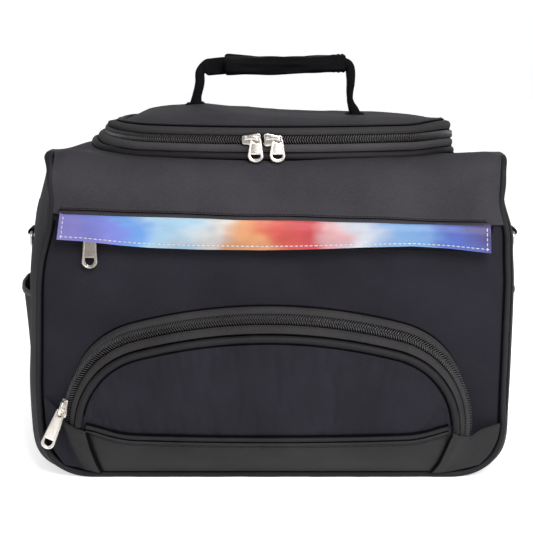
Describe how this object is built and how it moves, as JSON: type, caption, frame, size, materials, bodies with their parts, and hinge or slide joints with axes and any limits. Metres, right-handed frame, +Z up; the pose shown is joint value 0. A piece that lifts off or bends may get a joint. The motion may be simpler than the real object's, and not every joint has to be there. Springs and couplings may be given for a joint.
{
  "type": "soft tool bag",
  "caption": "Soft fabric tool bag with a zipped hinged lid, carry handle, flap over a zip pocket, arched front pocket that folds down, side pockets and strap rings.",
  "frame": {"origin": "middle of the flat base, on the floor", "axes": "+X to the right seen from the front, +Y from the front to the back, +Z up"},
  "size_m": [0.4356, 0.2544, 0.3383],
  "materials": {
    "bag_fabric": "woven black nylon, slight sheen",
    "shoulder_fabric": "woven black nylon, lit side",
    "lining_fabric": "thin black lining",
    "piping_fabric": "black corded piping and binding",
    "zip_tape": "woven black zip tape",
    "zip_coil": "black nylon coil",
    "webbing": "black ribbed webbing",
    "flap_print": "soft blend of violet, blue, pale and warm red",
    "base_board": "stiff board",
    "nickel": "warm nickel plate"
  },
  "bodies": {
    "bag": {"front_panel": "bag_fabric", "back_panel": "bag_fabric", "left_side_panel": "bag_fabric", "right_side_panel": "bag_fabric", "bottom_panel": "bag_fabric", "pocket_bottom_band": "bag_fabric", "pocket_gusset_left": "bag_fabric", "pocket_gusset_right": "bag_fabric", "side_pocket_left": "bag_fabric", "side_pocket_right": "bag_fabric", "shoulder_panel": "shoulder_fabric", "yoke_hem": "shoulder_fabric", "lid_hinge_strip": "shoulder_fabric", "liner": "lining_fabric", "front_piping": "piping_fabric", "back_piping": "piping_fabric", "lid_base_piping": "piping_fabric", "side_binding_left": "piping_fabric", "side_binding_right": "piping_fabric", "lid_zip_tape_lower": "zip_tape", "flap_zip_tapes": "zip_tape", "pocket_tape_outer": "zip_tape", "lid_zip_coil_lower": "zip_coil", "flap_zip_coils": "zip_coil", "pocket_coil_outer": "zip_coil", "strap_loop_left": "webbing", "strap_loop_right": "webbing", "base_board": "base_board"},
    "lid": {"lid_zip_tape_upper": "zip_tape", "lid_zip_coil_upper": "zip_coil", "lid_back_gusset": "shoulder_fabric", "lid_top_piping": "piping_fabric", "lid_top_panel": "shoulder_fabric", "lid_lining": "lining_fabric", "handle_anchor_left": "webbing", "handle_anchor_right": "webbing"},
    "handle": {"handle_strap": "webbing", "handle_grip": "shoulder_fabric"},
    "pocket_door": {"pocket_face": "bag_fabric", "pocket_face_piping": "piping_fabric", "pocket_tape_inner": "zip_tape", "pocket_coil_inner": "zip_coil"},
    "lid_slider_left": {"lid_slider_left": "nickel"},
    "lid_slider_right": {"lid_slider_right": "nickel"},
    "lid_pull_left": {"lid_pull_left": "nickel"},
    "lid_pull_right": {"lid_pull_right": "nickel"},
    "flap_zip_slider": {"flap_zip_slider": "nickel"},
    "flap_zip_pull": {"flap_zip_pull": "nickel"},
    "zip_flap": {"zip_flap": "flap_print"},
    "pocket_slider": {"pocket_slider": "nickel"},
    "pocket_pull": {"pocket_pull": "nickel"},
    "d_ring_left": {"d_ring_left": "nickel"},
    "d_ring_right": {"d_ring_right": "nickel"}
  },
  "joints": [
    {"name": "lid_hinge", "type": "hinge", "parent": "bag", "child": "lid", "pos_m": [0, 0.08, 0.274], "axis": [-1, 0, 0], "range_deg": [0, 105]},
    {"name": "lid_slider_left_travel", "type": "hinge", "parent": "bag", "child": "lid_slider_left", "pos_m": [0, 0.228, 0.274], "axis": [0, 0, -1], "range_deg": [0, 16]},
    {"name": "lid_slider_right_travel", "type": "hinge", "parent": "bag", "child": "lid_slider_right", "pos_m": [0, 0.228, 0.274], "axis": [0, 0, 1], "range_deg": [0, 19]},
    {"name": "lid_pull_left_swing", "type": "hinge", "parent": "lid_slider_left", "child": "lid_pull_left", "pos_m": [-0.01341, -0.09174, 0.274], "axis": [-0.0531, -0.9986, 0], "range_deg": [-45, 0]},
    {"name": "lid_pull_right_swing", "type": "hinge", "parent": "lid_slider_right", "child": "lid_pull_right", "pos_m": [0.0036, -0.092, 0.274], "axis": [0, -1, 0], "range_deg": [0, 45]},
    {"name": "handle_swing", "type": "hinge", "parent": "lid", "child": "handle", "pos_m": [0, -0.006, 0.3052], "axis": [1, 0, 0], "range_deg": [-60, 60]},
    {"name": "zip_flap_lift", "type": "hinge", "parent": "bag", "child": "zip_flap", "pos_m": [0.00023, -0.1181, 0.2131], "axis": [-0.9996, 0, 0.0279], "range_deg": [0, 120]},
    {"name": "flap_slider_travel", "type": "slide", "parent": "bag", "child": "flap_zip_slider", "axis": [0.9996, 0, -0.0279], "range_m": [0, 0.298]},
    {"name": "flap_pull_swing", "type": "hinge", "parent": "flap_zip_slider", "child": "flap_zip_pull", "pos_m": [-0.14534, -0.108, 0.20906], "axis": [0, -1, 0], "range_deg": [-40, 40]},
    {"name": "front_pocket_open", "type": "hinge", "parent": "bag", "child": "pocket_door", "pos_m": [0, -0.1365, 0.039], "axis": [1, 0, 0], "range_deg": [0, 75]},
    {"name": "pocket_slider_travel", "type": "hinge", "parent": "pocket_door", "child": "pocket_slider", "pos_m": [-0.09, -0.1198, 0.047], "axis": [0, 1, 0], "range_deg": [0, 54]},
    {"name": "pocket_pull_swing", "type": "hinge", "parent": "pocket_slider", "child": "pocket_pull", "pos_m": [-0.16486, -0.1198, 0.06059], "axis": [-0.7171, -0.6771, 0.1655], "range_deg": [-6, 30]},
    {"name": "d_ring_left_swing", "type": "hinge", "parent": "bag", "child": "d_ring_left", "pos_m": [-0.20631, 0, 0.187], "axis": [0, 1, 0], "range_deg": [0, 150]},
    {"name": "d_ring_right_swing", "type": "hinge", "parent": "bag", "child": "d_ring_right", "pos_m": [0.20631, 0, 0.187], "axis": [0, -1, 0], "range_deg": [0, 150]}
  ]
}
